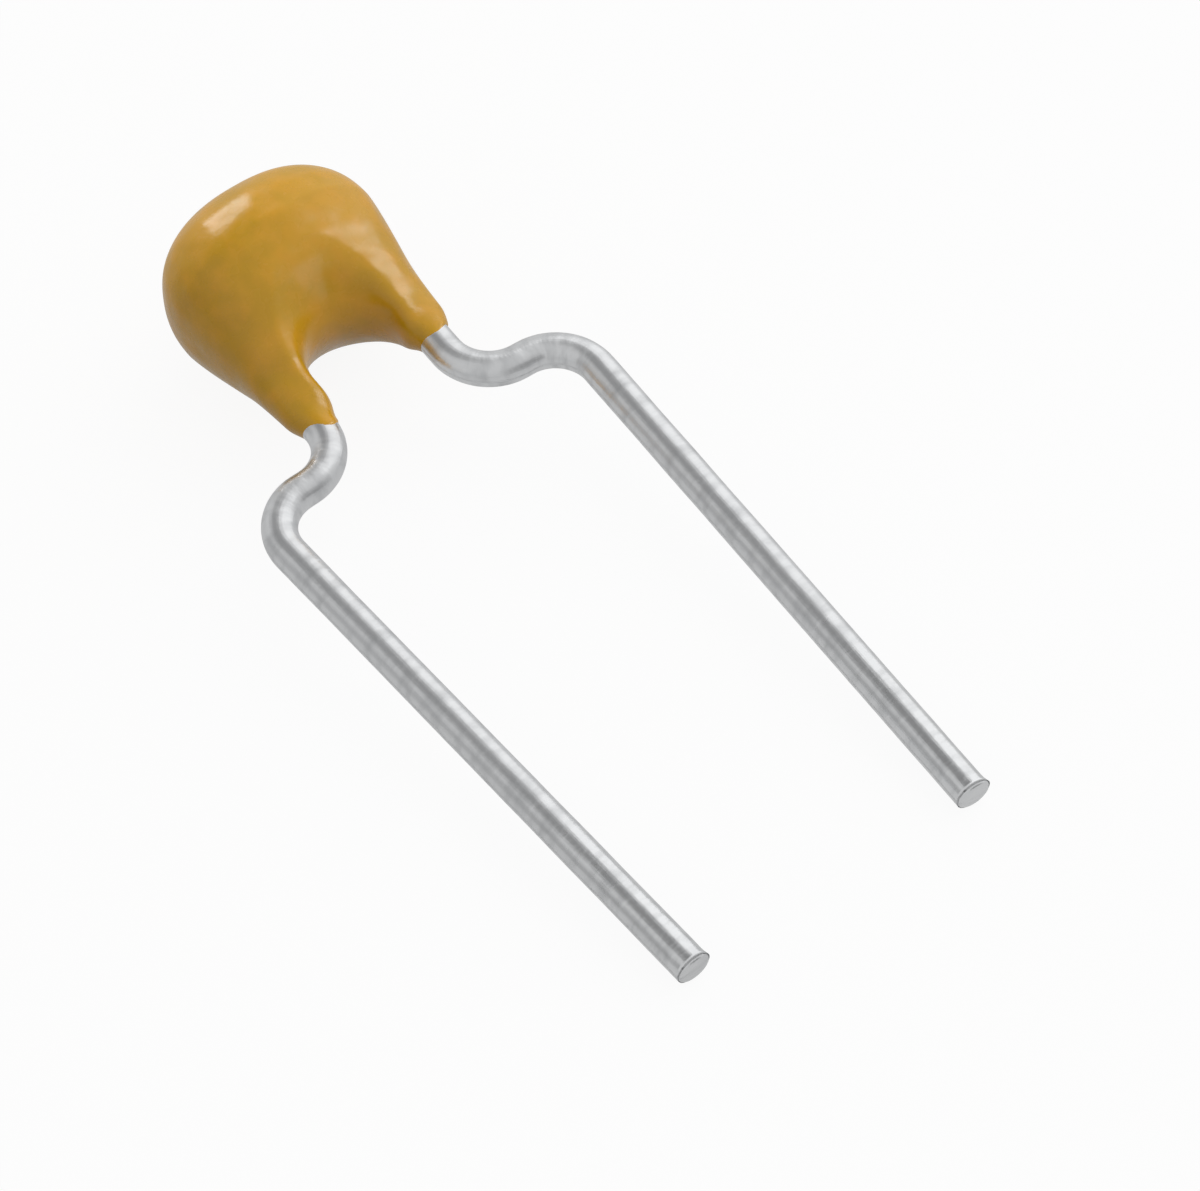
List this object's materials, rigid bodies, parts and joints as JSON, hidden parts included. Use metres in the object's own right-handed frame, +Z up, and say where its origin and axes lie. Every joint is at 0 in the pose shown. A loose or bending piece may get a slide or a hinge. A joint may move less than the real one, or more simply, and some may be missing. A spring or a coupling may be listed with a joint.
{
  "type": "multilayer ceramic capacitor",
  "caption": "Radial multilayer ceramic capacitor: a domed gold-brown resin body on two kinked tinned wire leads, lying on its side.",
  "frame": {"origin": "under the middle of the bounding box, on the surface that the part lies on", "axes": "+Z up as the part lies at rest, +X across the two leads, +Y from the lead tips towards the body"},
  "size_m": [0.0054, 0.0132, 0.0027],
  "materials": {
    "resin_coat": "semi-gloss gold-brown dipped resin with a faintly uneven surface",
    "tinned_wire": "bright tinned wire with faint drawing and forming marks",
    "ceramic_dielectric": "matt fired ceramic",
    "electrode_metal": "matt sintered nickel",
    "end_cap_metal": "satin plated end cap",
    "solder": "smooth solder fillet"
  },
  "bodies": {
    "root": {"coating": "resin_coat", "lead_left": "tinned_wire", "lead_right": "tinned_wire", "dielectric": "ceramic_dielectric", "electrodes_left": "electrode_metal", "electrodes_right": "electrode_metal", "termination_left": "end_cap_metal", "termination_right": "end_cap_metal", "solder_left": "solder", "solder_right": "solder"}
  },
  "joints": []
}
